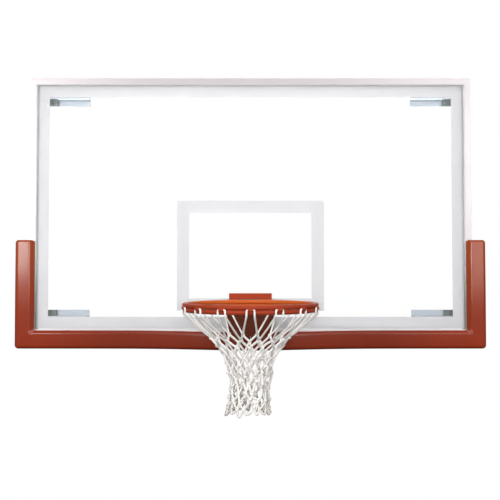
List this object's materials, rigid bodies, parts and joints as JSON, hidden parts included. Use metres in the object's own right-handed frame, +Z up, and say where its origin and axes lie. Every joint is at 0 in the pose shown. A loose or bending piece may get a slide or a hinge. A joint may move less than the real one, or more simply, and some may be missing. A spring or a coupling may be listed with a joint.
{
  "type": "basketball backboard",
  "caption": "Glass basketball backboard in a light metal frame with orange edge pads, corner mounting angles, and a sprung double ring with a cord net",
  "frame": {"origin": "centre of the four corner mounting holes, on the rear plane of the mounting angles", "axes": "+X right seen from the front, +Y to the rear where the structure is, +Z up"},
  "size_m": [1.9348, 0.7059, 1.3166],
  "materials": {
    "clear_glass": "polished",
    "white_marking": "matte",
    "frame_coat": "satin",
    "dark_seal": "matte",
    "light_steel": "satin",
    "dark_steel": "satin",
    "aluminium": "satin",
    "bright_fastener": "satin",
    "pad_foam": "satin",
    "nylon": "matte",
    "rim_paint": "satin",
    "bronze": "satin",
    "spring_steel": "satin",
    "net_cord": "matte"
  },
  "bodies": {
    "board": {"glass_panel": "clear_glass", "border_stripe": "white_marking", "target_square": "white_marking", "top_rail": "frame_coat", "bottom_rail": "frame_coat", "left_rail": "frame_coat", "right_rail": "frame_coat", "glazing_seal": "dark_seal", "front_rim_seal": "dark_seal", "rear_rim_seal": "dark_seal", "rest_buffer": "dark_seal", "top_left_angle": "light_steel", "top_right_angle": "light_steel", "bottom_left_angle": "light_steel", "bottom_right_angle": "light_steel", "backing_plate": "light_steel", "goal_strut": "light_steel", "mounting_blocks": "dark_steel", "spring_spigots": "dark_steel", "corner_keys": "aluminium", "corner_screws": "bright_fastener", "angle_screws": "bright_fastener", "pad_washers": "bright_fastener", "pad_screws": "bright_fastener", "rim_bolts": "bright_fastener", "rim_washers": "bright_fastener", "rim_nuts": "bright_fastener", "strut_screws": "bright_fastener", "hinge_pin": "bright_fastener", "pin_clips": "bright_fastener", "left_pad": "pad_foam", "right_pad": "pad_foam", "glass_sleeves": "nylon", "rim_back_plate": "rim_paint", "left_cheek": "rim_paint", "right_cheek": "rim_paint", "return_springs": "spring_steel"},
    "ring": {"left_yoke_side": "rim_paint", "right_yoke_side": "rim_paint", "front_apron": "rim_paint", "hinge_bushes": "bronze", "ring_top_plate": "rim_paint", "spring_bar": "dark_steel", "upper_ring": "rim_paint", "lower_ring": "rim_paint", "net_ties": "rim_paint"},
    "net": {"net": "net_cord"}
  },
  "joints": [
    {"name": "ring_flex", "type": "hinge", "parent": "board", "child": "ring", "pos_m": [0, -0.13, -0.4474], "axis": [1, 0, 0], "range_deg": [0, 30], "stiffness_Nm_per_rad": 400, "springref_deg": -68.75, "deforming": ["return_springs"]},
    {"name": "net_hang", "type": "hinge", "parent": "ring", "child": "net", "pos_m": [0, -0.441, -0.399], "axis": [1, 0, 0], "range_deg": [-30, 0], "deforming": ["net"]}
  ],
  "couplings": [
    {"joint": "net_hang", "follows": "ring_flex", "ratio": -1}
  ]
}
